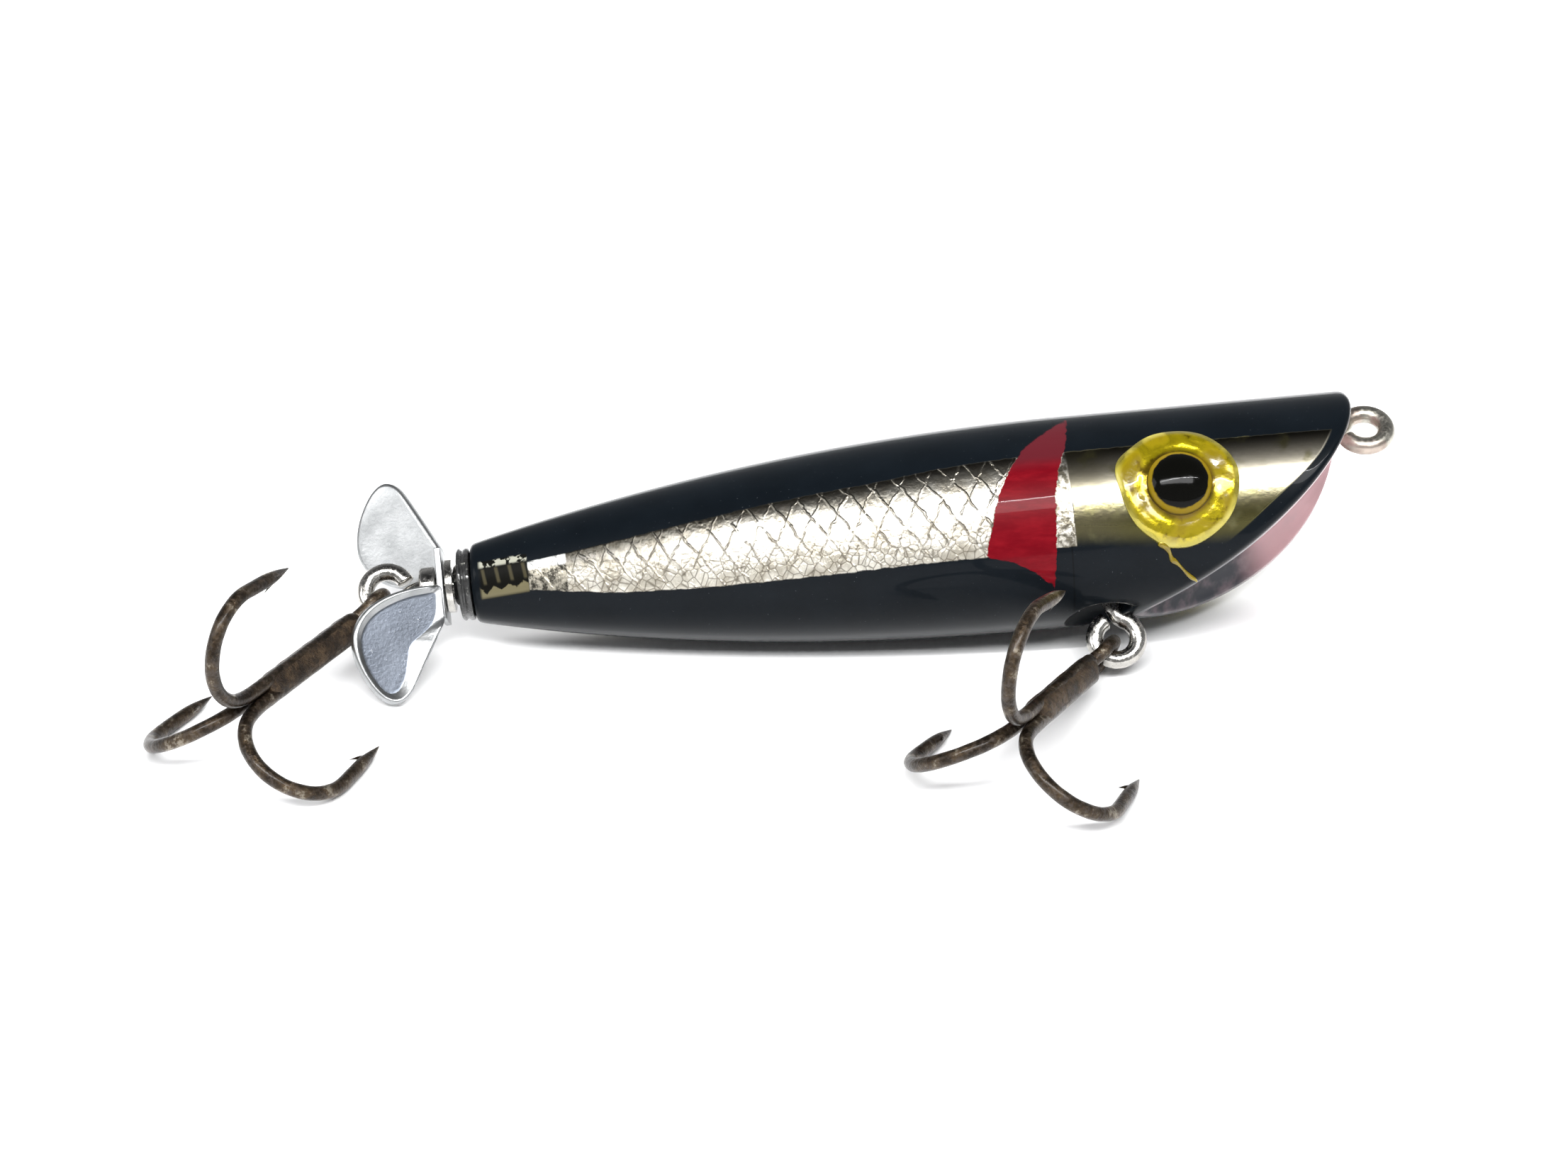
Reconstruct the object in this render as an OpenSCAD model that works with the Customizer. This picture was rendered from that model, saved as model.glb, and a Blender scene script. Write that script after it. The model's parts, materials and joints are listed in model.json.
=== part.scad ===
// Topwater popper: hollow two-half body with a cupped mouth, foil inserts, glued-in
// eyes, three screw eyes, a free-spinning tail propeller and two swinging treble hooks.
// Built standing (x to the nose, y to the left, z to the back), then laid on its side
// as it rests on a table. Millimetres.

/* [Body] */
// Length from tail end face to nose, mm
body_len = 77; // [60:0.5:100]
// Greatest radius, mm
body_r = 9.05; // [7:0.05:12]
// Radius at the tail end, mm
tail_r = 3.05; // [2:0.05:5]
// Radius at the nose, mm
nose_r = 8.72; // [6:0.05:11]
// Distance of the greatest radius from the tail end, mm
belly_x = 51.4; // [40:0.2:60]
// Fullness of the tail taper
taper_p = 2.1; // [1.6:0.1:3]
// Shell wall, mm
wall = 1.1; // [0.8:0.1:2]
// Foil thickness, mm
foil_t = 0.3; // [0.2:0.05:0.6]
// Rounding of the nose corner, mm
nose_round = 1.1; // [0.4:0.1:2]

/* [Mouth] */
// Length of the lip curve along the body, mm
mouth_len = 21; // [14:0.5:28]
// Height of the lip curve, mm
mouth_h = 15.6; // [10:0.2:17]
// Height of the upper lip above the body axis, mm
lip_top = 6.6; // [3:0.2:8]
// Fullness of the lip curve
lip_p = 1.65; // [1.2:0.05:2.5]
// Lip thickness, mm
lip_t = 1.7; // [1:0.1:3]
// Depth of the mouth cup below the lips, mm
cup_depth = 3.0; // [1:0.2:5]

/* [Eyes] */
// Eye centre from the tail end, mm
eye_x = 61.1; // [50:0.1:70]
// Eye centre height above the body axis, mm
eye_z = -0.6; // [-3:0.1:3]
// Eye radius, mm
eye_r = 5.0; // [3:0.1:7]
// How deep the eye is let into the shell, mm
eye_seat = 0.6; // [0.3:0.1:0.9]
// How far the eye stands proud, mm
eye_proud = 0.3; // [0.1:0.05:0.8]
// Radius of the pupil dome's sphere, mm
pupil_r = 3.3; // [2:0.1:5]

/* [Screw eyes] */
// Wire radius, mm
wire_r = 0.75; // [0.5:0.05:1]
// Ring radius to the wire's centre, mm
ring_r = 1.85; // [1.5:0.05:3]
// Nose ring centre from the tail end, mm
nose_ring_x = 78.8; // [76:0.1:82]
// Nose ring centre height, mm
nose_ring_z = 5.4; // [0:0.1:7]
// Turn of the nose ring about its shank, degrees
nose_ring_turn = -22; // [-90:1:90]
// Belly ring centre from the tail end, mm
belly_ring_x = 55.1; // [45:0.1:60]
// Belly ring centre below the axis, mm
belly_ring_z = 10.9; // [9.5:0.1:14]
// Tail ring centre behind the tail end face, mm
tail_ring_x = 6.2; // [5:0.1:9]
// Turn of the tail ring about its shank, degrees
tail_ring_turn = 0; // [-90:1:90]

/* [Propeller] */
// Blade plate thickness, mm
blade_t = 0.45; // [0.3:0.05:0.8]
// Blade pitch, degrees
blade_pitch = 22; // [10:1:60]
// Turn of the propeller at rest, degrees
prop_turn = 10.5; // [-180:1:180]

/* [Treble hooks] */
// Hook wire radius, mm
hook_r = 0.6; // [0.4:0.05:0.9]
// Hook eye radius to the wire's centre, mm
hook_eye_r = 1.6; // [1.3:0.05:2.5]
// Shank length from the eye centre to the bend, mm
shank_l = 17.4; // [8:0.5:20]
// Bend radius, mm
bend_r = 4.65; // [3:0.1:7]
// Point length beyond the bend, mm
point_l = 6; // [2:0.1:8]
// Flare of each shank before the bend, degrees
flare = 9; // [0:1:20]

/* [Hidden] */
// how the lure lies: tail down, rolled onto its side
pitch = 4.5;
lean = 49.5;
tail_h = 5.7413;
// centres the box over the origin
shift_x = -27.5295;
shift_y = 11.4203;
flare_r = 12;
lean_in = 5;
link = 0.12;
belly_heading = -119.47;
belly_rise = 12.81;
tail_heading = -120.60;
tail_rise = 4.58;

// body outline
function rad(x) = x < belly_x
    ? body_r - (body_r - tail_r) * pow(1 - x / belly_x, taper_p)
    : body_r - (body_r - nose_r) * (x - belly_x) / (body_len - belly_x);
function stations(a, b, n) = [for (i = [0:n]) a + (b - a) * i / n];
// solid of revolution about the x axis between two stations, offset inwards
module turned(a, b, off = 0, n = 30)
    rotate([0, 90, 0]) rotate_extrude($fn = 96)
        polygon(concat([[0, a]], [for (x = stations(a, b, n)) [rad(x) - off, x]], [[0, b]]));
// the inside of the shell, one bore from tail to head
module bore()
    rotate([0, 90, 0]) rotate_extrude($fn = 96)
        polygon(concat([[0, 9.5]], [for (x = stations(9.5, 50.4, 16)) [rad(x) - wall, x]],
            [for (x = [52.4, 58, 64, 70]) [rad(x) - wall, x]], [[0, 70]]));
// the whole outside with its rounded nose corner
module outside()
    rotate([0, 90, 0]) rotate_extrude($fn = 96)
        polygon(concat([[0, 1.2], [2.75, 1.2], [2.75, 1.6]],
            [for (x = stations(1.6, body_len - nose_round, 30)) [rad(x), x]],
            [for (a = [15:15:90]) [rad(body_len - nose_round) - nose_round * (1 - cos(a)),
                body_len - nose_round + nose_round * sin(a)]],
            [[0, body_len]]));
// region ahead of and below the lip curve, as a slab through the body
module lip_cut(grow = 0)
    translate([0, 12, 0]) rotate([90, 0, 0]) linear_extrude(height = 24)
        polygon(concat(
            [for (i = [0:28]) let (a = 90 * i / 28)
                [body_len - mouth_len + (mouth_len - grow) * pow(cos(a), 2 / lip_p),
                 lip_top - (mouth_h - grow) * pow(sin(a), 2 / lip_p)]],
            [[body_len - mouth_len, -14], [body_len + 6, -14], [body_len + 6, lip_top]]));
// groove swept round the cup, deepest in the middle
cup_cx = 56.4;
cup_cz = 12.9;
cup_R = 21.6;
module cup_sweep(extra = 0)
    translate([cup_cx, 0, cup_cz]) rotate([90, 0, 0]) rotate_extrude($fn = 120)
        polygon(concat([for (i = [-6:6]) let (t = i / 6)
                [cup_R + 0.4 - extra - (cup_depth + 0.4) * pow(1 - t * t, 0.7), 7.6 * t]],
            [[40, 7.6], [40, -7.6]]));
module cup()
    intersection() {
        cup_sweep();
        turned(belly_x + 3, body_len + 3, lip_t, 12);
        translate([belly_x + 3.2, -10, -10]) cube([30, 20, 20]);
    }
module half(side)
    translate([-20, side < 0 ? -20 : 0, -20]) cube([120, 20, 40]);
// recess in the belly round the hanger ring
module belly_dish()
    translate([belly_ring_x - 0.9, 0, -11.3]) sphere(r = 4.0, $fn = 60);
module eye_drill(side, r)
    translate([eye_x, 0, eye_z]) rotate([90 * side * -1, 0, 0]) cylinder(r = r, h = 14, $fn = 72);

// foil chamber and head chamber, parted by the bulkhead
module chambers()
    difference() {
        bore();
        head_solid();
    }
// plastic left in the head: a sloping floor under the cup and the bosses for two eyes
module head_solid() {
    translate([52.4, -10, -3.6]) rotate([0, -23.3, 0]) translate([0, 0, -20])
        cube([40, 20, 20]);
    translate([52.4, -10, -20]) cube([0.6, 20, 16.2]);
    translate([60, 0, nose_ring_z]) rotate([0, 90, 0]) cylinder(r = 2.2, h = 18, $fn = 40);
    translate([belly_ring_x, 0, -10]) cylinder(r = 2.2, h = 9, $fn = 40);
}
module pilot(h) rotate([0, 0, 50]) cylinder(r = wire_r, h = h, $fn = 36);
module tail_pilot() translate([1, 0, 0]) rotate([0, 90, 0]) pilot(9.5);
module nose_pilot() translate([64.5, 0, nose_ring_z]) rotate([0, 90, 0]) pilot(14);
module belly_pilot() translate([belly_ring_x, 0, -9.5]) pilot(8);
module screw_bores() {
    tail_pilot();
    nose_pilot();
    belly_pilot();
}

module shell(side)
    difference() {
        intersection() {
            outside();
            half(side);
        }
        lip_cut();
        cup();
        chambers();
        belly_dish();
        screw_bores();
        // shallow seat for the eye
        difference() {
            eye_drill(side, eye_r);
            turned(50, 73, eye_seat, 10);
        }
    }
module foil(side)
    color("silver") intersection() {
        difference() {
            turned(9.5, 50.4, wall, 16);
            turned(9.5, 50.4, wall + foil_t, 16);
        }
        translate([0, side < 0 ? -20 : 0.4, -6.5]) cube([60, 19.6, 13]);
    }
module head_foil(side)
    color("tan") difference() {
        intersection() {
            difference() {
                bore();
                turned(40, 73, wall + foil_t, 6);
            }
            translate([52.4, side < 0 ? -20 : 3.4, -1.5]) cube([13, 16.6, 6.5]);
        }
        head_solid();
    }
module eye_disc(side)
    color("gold") difference() {
        intersection() {
            eye_drill(side, eye_r);
            turned(50, 73, -eye_proud, 10);
        }
        turned(50, 73, eye_seat, 10);
    }
module pupil(side)
    color([0.1, 0.1, 0.1]) difference() {
        translate([eye_x, side * (body_r - 1.7), eye_z]) rotate([-90 * side, 0, 0])
            rotate_extrude($fn = 72) polygon(concat([[0, 0.9]],
                [for (a = [78:-6:6]) pupil_r * [sin(a), cos(a)]], [[0, pupil_r]]));
        turned(50, 73, -eye_proud, 10);
    }
// bent-wire screw eye: ring centred at the origin, shank along -x
module screw_eye(len, plain, turn) {
    rotate([turn, 0, 0]) rotate([90, 0, 0]) rotate_extrude($fn = 64)
        translate([ring_r, 0]) circle(r = wire_r, $fn = 28);
    rotate([0, -90, 0]) translate([0, 0, ring_r + 0.2])
        cylinder(r = wire_r, h = plain - ring_r - 0.2, $fn = 36);
    // cut thread as a row of ridges, then the gimlet point
    rotate([0, -90, 0]) rotate_extrude($fn = 36)
        polygon(concat([[0, plain]],
            [for (i = [0:1:floor((len - plain - 1.2) / 0.6)])
                [i % 2 == 0 ? wire_r - 0.14 : wire_r + 0.05, plain + i * 0.6]],
            [[wire_r - 0.2, len - 1.0], [0, len]]));
}
module place() translate([shift_x, shift_y, tail_h]) rotate([0, -pitch, 0])
    rotate([-lean, 0, 0]) children();

module body_shell_right() color([0.2, 0.2, 0.22]) place() shell(-1);
module body_shell_left() color([0.25, 0.25, 0.27]) place() shell(1);
module foil_right() place() foil(-1);
module foil_left() place() foil(1);
module head_foil_right() place() head_foil(-1);
module head_foil_left() place() head_foil(1);
module bulkhead() color([0.5, 0.5, 0.5]) place() intersection() {
    bore();
    translate([50.4, -20, -20]) cube([2, 40, 40]);
}
module eye_right() place() eye_disc(-1);
module eye_left() place() eye_disc(1);
module pupil_right() place() pupil(-1);
module pupil_left() place() pupil(1);
module ballast_slug() color("gray") place() intersection() {
    turned(28, 42, wall + 0.06, 10);
    translate([28, -4, -12.6]) cube([14, 8, 6]);
}
module nose_screw_eye() color("silver") place()
    translate([nose_ring_x, 0, nose_ring_z]) screw_eye(13.5, 4.6, nose_ring_turn);
module belly_screw_eye() color("silver") place()
    translate([belly_ring_x, 0, -belly_ring_z]) rotate([0, 90, 0]) screw_eye(9.0, 3.4, 0);
module tail_screw_eye() color("silver") place()
    translate([-tail_ring_x, 0, 0]) rotate([0, 180, 0]) screw_eye(15, 7.2, -tail_ring_turn);
module tail_collar() color([0.15, 0.15, 0.15]) place() rotate([0, 90, 0]) difference() {
    union() {
        cylinder(r = 3.1, h = 1.2, $fn = 60);
        translate([0, 0, -0.45]) cylinder(r = 1.7, h = 0.5, $fn = 48);
    }
    translate([0, 0, -1]) cylinder(r = wire_r, h = 3, $fn = 36);
}
module front_washer() color([0.6, 0.6, 0.6]) place() rotate([0, 90, 0]) difference() {
    translate([0, 0, -1.0]) cylinder(r = 2.3, h = 0.55, $fn = 48);
    translate([0, 0, -2]) cylinder(r = wire_r, h = 3, $fn = 36);
}
module rear_bushing() color([0.75, 0.75, 0.75]) place() rotate([0, 90, 0]) difference() {
    translate([0, 0, -3.3]) cylinder(r = 1.8, h = 1.45, $fn = 48);
    translate([0, 0, -4]) cylinder(r = wire_r, h = 3, $fn = 36);
}

// one blade: a pan folded back from the hub plate's edge, open side outwards. Its outline
// is drawn with x running back from the fold and z along the blade.
function bez(a, b, c, n) = [for (i = [0:n - 1]) let (t = i / n)
    a * (1 - t) * (1 - t) + b * 2 * t * (1 - t) + c * t * t];
function leaf_outline() = concat(
    bez([0, 3.2], [2.4, 7.4], [3.4, 9.0], 4), bez([3.4, 9.0], [4.9, 11.2], [6.7, 9.0], 6),
    bez([6.7, 9.0], [8.5, 6.6], [8.2, 4.2], 5), bez([8.2, 4.2], [7.4, 1.0], [2.4, 0.3], 7),
    bez([2.4, 0.3], [1, 0.2], [0, 0.2], 2));
leaf_mid = [4.4, 4.6];
module leaf(inset) rotate([90, 0, 0]) linear_extrude(height = 1)
    polygon([for (p = leaf_outline()) leaf_mid + (p - leaf_mid) * (1 - inset / norm(p - leaf_mid))]);
module slab(y0, y1) translate([-20, y0, -20]) cube([40, y1 - y0, 40]);
module blade()
    translate([-1.45, 2.3, 0]) rotate([0, 0, 180 - blade_pitch]) {
        intersection() {
            scale(1) translate([0, 0, 0]) leaf(0);
            slab(-blade_t, 0.5);
        }
        difference() {
            leaf(0);
            leaf(0.5);
            translate([-1, -2, -2]) cube([1.6, 4, 5.2]);
        }
    }
module propeller() color([0.75, 0.77, 0.78]) place() rotate([prop_turn, 0, 0]) difference() {
    union() {
        for (k = [0, 180]) rotate([k, 0, 0]) blade();
        translate([-1.7, -2.45, -3.1]) cube([0.55, 4.9, 6.2]);
    }
    rotate([0, 90, 0]) translate([0, 0, -4]) rotate([0, 0, 20])
        cylinder(r = wire_r + 0.06, h = 6, $fn = 40);
}

// Treble wires are tubes swept along a centre line. A station is [point, radius, barb,
// across], where across is the direction square to the bend's plane.
SIDES = 14;
function unit(v) = v / norm(v);
function turn_z(p, a) = [p[0] * cos(a) - p[1] * sin(a), p[0] * sin(a) + p[1] * cos(a), p[2]];
function tangent(st, i) = unit(st[min(i + 1, len(st) - 1)][0] - st[max(i - 1, 0)][0]);
function section(st, i) =
    let (t = tangent(st, i), w = st[i][3], u = unit(w - t * (w * t)), v = cross(u, t))
    [for (k = [0:SIDES - 1]) let (a = 360 * k / SIDES, c = cos(a))
        st[i][0] + u * st[i][1] * sin(a)
            + v * (st[i][1] * c + (c > 0.5 ? st[i][2] * (c - 0.5) * 2 : 0))];
module tube(st) {
    n = len(st);
    polyhedron(
        points = [for (i = [0:n - 1]) each section(st, i)],
        faces = concat(
            [[for (k = [SIDES - 1:-1:0]) k]],
            [for (i = [0:n - 2], k = [0:SIDES - 1]) let (m = (k + 1) % SIDES)
                [i * SIDES + k, i * SIDES + m, (i + 1) * SIDES + m]],
            [for (i = [0:n - 2], k = [0:SIDES - 1]) let (m = (k + 1) % SIDES)
                [i * SIDES + k, (i + 1) * SIDES + m, (i + 1) * SIDES + k]],
            [[for (k = [0:SIDES - 1]) (n - 1) * SIDES + k]]));
}
// centre line of one hook in the xz plane, from the shank to the point: slow bend, round
// bend, straight point leaning in
shank_off = hook_r * 1.2;
function bend_stations() = let (
        c1 = [shank_off + flare_r, -shank_l],
        p1 = c1 - flare_r * [cos(flare), sin(flare)],
        c2 = p1 + bend_r * [cos(flare), sin(flare)],
        a2 = 180 + lean_in,
        p2 = c2 - bend_r * [cos(a2), sin(a2)],
        d2 = [-sin(lean_in), cos(lean_in)])
    concat(
        [for (i = [0:2]) let (a = flare * i / 3)
            [c1[0] - flare_r * cos(a), c1[1] - flare_r * sin(a), hook_r, 0]],
        [for (i = [0:20]) let (a = flare + (a2 - flare) * i / 20)
            [c2[0] - bend_r * cos(a), c2[1] - bend_r * sin(a), hook_r, 0]],
        [for (q = [[0.25, 1, 0], [0.42, 0.97, 0], [0.46, 0.95, 0.62], [0.58, 0.86, 0.2],
                [0.66, 0.76, 0], [0.8, 0.5, 0], [0.92, 0.24, 0], [1, 0.06, 0]])
            [p2[0] + d2[0] * point_l * q[0], p2[1] + d2[1] * point_l * q[0],
             hook_r * q[1], q[2]]]);
function hook_path(az) = [for (b = bend_stations())
    [turn_z([b[0], 0, b[1]], az), b[2], b[3], turn_z([0, -1, 0], az)]];
// walked the other way, a station's across direction turns round too
function reversed(v) = [for (i = [len(v) - 1:-1:0]) [v[i][0], v[i][1], v[i][2], -v[i][3]]];
// shank from the bend up to height h at the given azimuth
function shank_path(az, h) = [for (z = [-shank_l + 1.5, -10, -6, h])
    [turn_z([shank_off, 0, z], az), hook_r, 0, turn_z([0, 1, 0], az)]];
// loop of the eye, turned about the shank
loop_gap = 40;
function loop_path(turn) = [for (i = [0:22]) let (a = 270 + loop_gap + (360 - 2 * loop_gap) * i / 22)
    [turn_z([hook_eye_r * cos(a), 0, hook_eye_r * sin(a)], turn), hook_r, 0,
     turn_z([0, -1, 0], turn)]];
module hook_pair(eye_turn)
    tube(concat(reversed(hook_path(0)), shank_path(0, -3.4),
        loop_path(eye_turn), reversed(shank_path(-120, -3.4)), hook_path(-120)));
module hook_single() tube(concat(reversed(hook_path(120)), shank_path(120, -3.9)));
module hook_braze()
    translate([0, 0, -shank_l + 1.2]) cylinder(r = 2.05 * hook_r, h = shank_l - 4.4, $fn = 40);
// where each treble hangs: its eye rides on the ring's wire, its shank points along a
// heading and rises or falls to lie on the table on two of its bends
function place_v(v) = let (y = v[1] * cos(lean) + v[2] * sin(lean),
        z = v[2] * cos(lean) - v[1] * sin(lean))
    [v[0] * cos(pitch) - z * sin(pitch), y, v[0] * sin(pitch) + z * cos(pitch)];
function place_p(v) = place_v(v) + [shift_x, shift_y, tail_h];
function shank_dir(heading, rise) =
    [cos(rise) * cos(heading), cos(rise) * sin(heading), sin(rise)];
function on_ring(ring, normal, d) = ring + ring_r * unit(d - normal * (d * normal)) + link * d;
module hang(ring, normal, heading, rise)
    translate(on_ring(place_p(ring), place_v(normal), shank_dir(heading, rise)))
        rotate([0, 0, heading]) rotate([0, -90 - rise, 0]) children();
module belly_place()
    hang([belly_ring_x, 0, -belly_ring_z], [0, 1, 0], belly_heading, belly_rise) children();
module tail_place()
    hang([-tail_ring_x, 0, 0], [0, cos(tail_ring_turn), sin(tail_ring_turn)],
        tail_heading, tail_rise) children();

module belly_hook_pair() color([0.4, 0.33, 0.25]) belly_place() hook_pair(-156.2);
module belly_hook_single() color([0.45, 0.36, 0.26]) belly_place() hook_single();
module belly_hook_braze() color([0.5, 0.4, 0.25]) belly_place() hook_braze();
module tail_hook_pair() color([0.4, 0.33, 0.25]) tail_place() hook_pair(-158.5);
module tail_hook_single() color([0.45, 0.36, 0.26]) tail_place() hook_single();
module tail_hook_braze() color([0.5, 0.4, 0.25]) tail_place() hook_braze();

body_shell_right();
body_shell_left();
foil_right();
foil_left();
head_foil_right();
head_foil_left();
bulkhead();
eye_right();
eye_left();
pupil_right();
pupil_left();
ballast_slug();
nose_screw_eye();
belly_screw_eye();
tail_screw_eye();
tail_collar();
front_washer();
rear_bushing();
propeller();
belly_hook_pair();
belly_hook_single();
belly_hook_braze();
tail_hook_pair();
tail_hook_single();
tail_hook_braze();
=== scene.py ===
import json
import math

import bmesh
import bpy
import numpy as np
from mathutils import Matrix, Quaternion, Vector, noise


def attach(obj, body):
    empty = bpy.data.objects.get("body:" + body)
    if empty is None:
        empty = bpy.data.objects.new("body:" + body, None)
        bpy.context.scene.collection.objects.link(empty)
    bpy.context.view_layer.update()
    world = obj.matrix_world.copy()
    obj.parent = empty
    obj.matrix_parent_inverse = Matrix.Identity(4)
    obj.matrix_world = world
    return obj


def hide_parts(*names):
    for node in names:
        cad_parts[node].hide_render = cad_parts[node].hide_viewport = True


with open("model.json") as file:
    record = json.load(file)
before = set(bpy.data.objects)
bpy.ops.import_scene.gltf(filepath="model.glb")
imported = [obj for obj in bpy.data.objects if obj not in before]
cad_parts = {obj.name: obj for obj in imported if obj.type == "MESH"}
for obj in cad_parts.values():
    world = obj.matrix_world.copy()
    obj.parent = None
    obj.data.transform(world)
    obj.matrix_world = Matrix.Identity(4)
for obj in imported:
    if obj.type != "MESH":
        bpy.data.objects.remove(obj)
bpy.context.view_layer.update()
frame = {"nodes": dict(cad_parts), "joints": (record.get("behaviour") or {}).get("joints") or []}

MM = 0.001

# ---------------------------------------------------------------- where the lure lies
# The propeller's axis runs along the body, the belly ring's axis across it: together they
# give the body's own axes (x to the nose, y to the left, z to the back) in the row frame.
JOINTS = {j["name"]: j for j in frame["joints"]}
AX = np.array(JOINTS["prop_spin"]["axis"], float)
AX /= np.linalg.norm(AX)
AY = np.array(JOINTS["belly_hook_swing"]["axis"], float)
AY -= AX * (AY @ AX)
AY /= np.linalg.norm(AY)
AZ = np.cross(AX, AY)
PROP_X = -1.4                     # the propeller's place along the body's axis, mm
ORIGIN = np.array(JOINTS["prop_spin"]["pos_m"], float) / MM - PROP_X * AX
BODY_M = np.stack([AX, AY, AZ])


def lay(p):
    """Body axes in mm to the row frame in mm."""
    return np.asarray(p, float) @ BODY_M + ORIGIN


# ---------------------------------------------------------------- camera
# Solved together with the lure's resting attitude: degrees and mm.
AZIMUTH, ELEVATION, ROLL = -3.616, 32.007, -0.262
CAM_POS = (-15.63, -240.41, 161.91)
H_FOV = 25.576
SENSOR = 36.0


def make_camera():
    cam = bpy.data.objects.new("camera", bpy.data.cameras.new("camera"))
    bpy.context.scene.collection.objects.link(cam)
    cam.data.sensor_width = SENSOR
    cam.data.lens = SENSOR / 2 / math.tan(math.radians(H_FOV / 2))
    cam.data.clip_start, cam.data.clip_end = 0.01, 20.0
    a, e = math.radians(AZIMUTH), math.radians(ELEVATION)
    back = Vector((math.sin(a) * math.cos(e), -math.cos(a) * math.cos(e), math.sin(e)))
    turn = (-back).to_track_quat("-Z", "Y")
    turn.rotate(Quaternion(back, math.radians(ROLL)))
    cam.rotation_mode = "QUATERNION"
    cam.rotation_quaternion = turn
    cam.location = Vector(CAM_POS) * MM
    bpy.context.scene.camera = cam


make_camera()
bpy.context.scene.view_settings.view_transform = "Standard"

# ---------------------------------------------------------------- light
AIM = (0, 0, 5)
WORLD_STRENGTH = 0.38
SKY = ((0.0, (0.9, 0.9, 0.9, 1)), (0.45, (0.75, 0.76, 0.78, 1)), (1.0, (0.05, 0.05, 0.055, 1)))


def area(name, pos, size, power, size_y=None):
    """Area light aimed at the lure. Place and size in mm, power in watts."""
    lamp = bpy.data.lights.new(name, "AREA")
    lamp.energy = power
    lamp.shape = "RECTANGLE" if size_y else "SQUARE"
    lamp.size = size * MM
    if size_y:
        lamp.size_y = size_y * MM
    o = bpy.data.objects.new(name, lamp)
    bpy.context.scene.collection.objects.link(o)
    o.location = Vector(pos) * MM
    o.rotation_mode = "QUATERNION"
    o.rotation_quaternion = (Vector(AIM) - Vector(pos)).to_track_quat("-Z", "Y")
    return o


def from_sky(elev, side, dist, across):
    """Place at an elevation seen from the lure, in front of it (-1) or behind it (1)."""
    t = math.radians(elev)
    return (across, side * math.cos(t) * dist, math.sin(t) * dist)


def studio_world():
    """Pale surroundings that darken towards the zenith."""
    world = bpy.data.worlds.new("studio")
    bpy.context.scene.world = world
    world.use_nodes = True
    tree = world.node_tree
    place = tree.nodes.new("ShaderNodeTexCoord")
    split = tree.nodes.new("ShaderNodeSeparateXYZ")
    ramp = tree.nodes.new("ShaderNodeValToRGB")
    stops = ramp.color_ramp.elements
    stops[0].position, stops[0].color = SKY[0]
    stops[1].position, stops[1].color = SKY[-1]
    stops.new(SKY[1][0]).color = SKY[1][1]
    background = tree.nodes["Background"]
    background.inputs[1].default_value = WORLD_STRENGTH
    tree.links.new(place.outputs["Generated"], split.inputs[0])
    tree.links.new(split.outputs["Z"], ramp.inputs[0])
    tree.links.new(ramp.outputs[0], background.inputs[0])


area("front_box", from_sky(56, -1, 520, -20), 560, 2.8, size_y=120)
behind = area("back_box", from_sky(42, 1, 560, 30), 620, 3.3, size_y=240)
behind.visible_glossy = False
area("strip", from_sky(61.5, -1, 470, 20), 620, 1.9, size_y=2.5)
area("left_box", (-520, -120, 300), 240, 0.7)
studio_world()


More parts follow.
